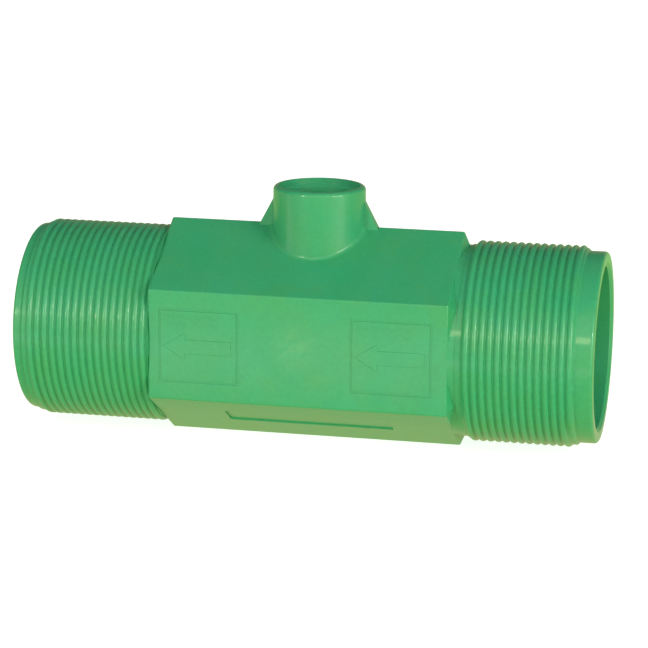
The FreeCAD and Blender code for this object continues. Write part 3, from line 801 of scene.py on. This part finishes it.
class FLOW_OT_stage(bpy.types.Operator):
    """Makes the pale floor, the lamps, the room light and the camera"""
    bl_idname = "flow_meter.stage"
    bl_label = "Stage"
    # each lamp's name, azimuth and elevation in degrees, distance, width and colour
    LAMPS = (
        ("left_lamp", -28.6, 14, 1.1, 0.11, (1.0, 0.96, 0.82)),
        ("right_lamp", 48.9, 20, 1.1, 0.06, (1.0, 0.96, 0.88)),
        ("low_lamp", -3.5, 20, 1.1, 0.16, (1.0, 0.88, 0.45)),
        ("side_lamp", 60, 12, 1.2, 0.6, (1.0, 0.95, 0.75)),
        ("front_lamp", 6, 34, 1.3, 0.9, (1.0, 0.94, 0.97)),
    )
    # what the table mirrors: the colour far in front of the meter, then each change towards
    # the back, as where it starts and ends along Y and the colour it ends in
    FAR_GLOSS = (0.28, 0.24, 0.12, 1)
    TABLE_GLOSS = (
        (-0.23, -0.17, (1.8, 1.35, 1.6, 1)),
        (-0.13, -0.08, (0.40, 0.50, 0.30, 1)),
        (-0.022, -0.008, (0.80, 0.66, 0.36, 1)),
        (0.03, 0.07, (0.55, 0.78, 0.25, 1)),
    )
    FLOOR_REACH = 4.0                   # half the width of the floor
    FLOOR_DROP = 0.0002                 # how far it lies under the meter
    PAPER = (0.55, 0.55, 0.55, 1)
    PAPER_GLOW = 0.84                   # light of the paper's own, for an even white
    ROOM_LOW = (0.60, 0.46, 0.27, 1)    # what the meter mirrors at the height of its axis
    ROOM_HIGH = (0.06, 0.06, 0.06, 1)   # and high over it
    ROOM_BLUE = 0.90                    # share of blue in the room light
    FOCAL_LENGTH = 149.2                # millimetres, for a picture 36 wide
    CAMERA_PLACE = (0.1650, -0.7681, 0.1887)
    CAMERA_AIM = (0.0023, 0.0, 0.0022)
    CAMERA_ROLL = math.radians(0.544)

    def execute(self, context):
        settings = context.scene.flow_stage
        self.floor(settings)
        self.room(settings)
        for name, azimuth, elevation, distance, size, colour in self.LAMPS:
            area_lamp(name, math.radians(azimuth), math.radians(elevation), distance, size,
                      getattr(settings, name), colour)
        self.camera(context.scene)
        return {"FINISHED"}

    def floor(self, settings):
        work = bmesh.new()
        reach = self.FLOOR_REACH
        level = CAD_LOW[2] - self.FLOOR_DROP
        corners = [(-reach, -reach), (reach, -reach), (reach, reach), (-reach, reach)]
        work.faces.new([work.verts.new((x, y, level)) for x, y in corners])
        mesh = bpy.data.meshes.new("floor")
        work.to_mesh(mesh)
        work.free()
        made = bpy.data.objects.new("floor", mesh)
        bpy.context.scene.collection.objects.link(made)
        paper = bpy.data.materials.new("white_paper")
        paper.use_nodes = True
        tree = paper.node_tree
        tree.nodes.clear()
        seen = add(tree, "ShaderNodeLightPath").outputs
        white = maths(tree, "MAXIMUM", seen["Is Camera Ray"], seen["Is Transmission Ray"])
        matt = add(tree, "ShaderNodeBsdfDiffuse", {"Color": self.PAPER})
        glow = add(tree, "ShaderNodeEmission", {
            "Color": (1, 1, 1, 1), "Strength": self.PAPER_GLOW})
        camera_side = add(tree, "ShaderNodeAddShader", {0: matt.outputs[0], 1: glow.outputs[0]})
        bounce = add(tree, "ShaderNodeEmission", {
            "Color": tuple(settings.bounce), "Strength": 1.0})
        place = add(tree, "ShaderNodeSeparateXYZ", {
            0: add(tree, "ShaderNodeTexCoord").outputs["Object"]}).outputs[1]
        mirror = self.FAR_GLOSS
        for low, high, colour in self.TABLE_GLOSS:
            mirror = mixed(tree, spread(tree, place, low, high), mirror, colour)
        gloss = add(tree, "ShaderNodeEmission", {"Color": mirror, "Strength": 1.0})
        bounce_side = add(tree, "ShaderNodeMixShader", {
            0: seen["Is Glossy Ray"], 1: bounce.outputs[0], 2: gloss.outputs[0]})
        chosen = add(tree, "ShaderNodeMixShader", {
            0: white, 1: bounce_side.outputs[0], 2: camera_side.outputs[0]})
        one_sided = add(tree, "ShaderNodeMixShader", {
            0: add(tree, "ShaderNodeNewGeometry").outputs["Backfacing"],
            1: chosen.outputs[0], 2: add(tree, "ShaderNodeBsdfTransparent").outputs[0]})
        out = tree.nodes.new("ShaderNodeOutputMaterial")
        tree.links.new(one_sided.outputs[0], out.inputs[0])
        made.data.materials.append(paper)

    def room(self, settings):
        world = bpy.data.worlds.new("studio")
        bpy.context.scene.world = world
        world.use_nodes = True
        tree = world.node_tree
        tree.nodes.clear()
        seen = add(tree, "ShaderNodeLightPath").outputs
        white = maths(tree, "MAXIMUM", seen["Is Camera Ray"], seen["Is Transmission Ray"])
        up = add(tree, "ShaderNodeSeparateXYZ", {
            0: add(tree, "ShaderNodeTexCoord").outputs["Generated"]})
        height = spread(tree, up.outputs[2], 0.0, 0.4)
        mirror = mixed(tree, height, self.ROOM_LOW, self.ROOM_HIGH)
        level = settings.world
        light = (level, level, level * self.ROOM_BLUE, 1)
        room = mixed(tree, seen["Is Glossy Ray"], light, mirror)
        final = mixed(tree, white, room, (1, 1, 1, 1))
        back = add(tree, "ShaderNodeBackground", {"Color": final, "Strength": 1.0})
        out = tree.nodes.new("ShaderNodeOutputWorld")
        tree.links.new(back.outputs[0], out.inputs[0])

    def camera(self, scene):
        lens = bpy.data.cameras.new("camera")
        lens.lens = self.FOCAL_LENGTH
        lens.sensor_width = 36.0
        made = bpy.data.objects.new("camera", lens)
        scene.collection.objects.link(made)
        made.location = self.CAMERA_PLACE
        aim = Vector(self.CAMERA_AIM) - made.location
        made.rotation_mode = "QUATERNION"
        roll = Quaternion((0, 0, 1), self.CAMERA_ROLL)
        made.rotation_quaternion = aim.to_track_quat("-Z", "Y") @ roll
        scene.camera = made
        scene.view_settings.view_transform = "Standard"


class FLOW_PT_panel(bpy.types.Panel):
    """Lists the pieces and their sizes, colours and lamps"""
    bl_label = "Flow Meter"
    bl_idname = "FLOW_PT_panel"
    bl_space_type = "VIEW_3D"
    bl_region_type = "UI"
    bl_category = "Flow Meter"

    def draw(self, context):
        for kind in OPERATORS:
            self.layout.operator(kind.bl_idname)
        for name in GROUPS:
            group = getattr(context.scene, name)
            box = self.layout.box()
            for key in group.__annotations__:
                box.prop(group, key)


GROUPS = {
    "flow_threads": ThreadSizes,
    "flow_spigots": SpigotSizes,
    "flow_marks": MarkSizes,
    "flow_body_finish": BodyFinish,
    "flow_inside_finish": InsideFinish,
    "flow_stage": StageSettings,
}
OPERATORS = (FLOW_OT_shell, FLOW_OT_supports, FLOW_OT_bearings, FLOW_OT_rotor, FLOW_OT_stage)


def register():
    for kind in tuple(GROUPS.values()) + OPERATORS + (FLOW_PT_panel,):
        bpy.utils.register_class(kind)
    for name, kind in GROUPS.items():
        setattr(bpy.types.Scene, name, bpy.props.PointerProperty(type=kind))


def unregister():
    for name in GROUPS:
        delattr(bpy.types.Scene, name)
    for kind in (FLOW_PT_panel,) + tuple(reversed(OPERATORS)) + tuple(GROUPS.values()):
        bpy.utils.unregister_class(kind)


def main():
    register()
    bpy.ops.flow_meter.stage()
    bpy.ops.flow_meter.shell()
    bpy.ops.flow_meter.supports()
    bpy.ops.flow_meter.bearings()
    bpy.ops.flow_meter.rotor()


if __name__ == "__main__":
    main()
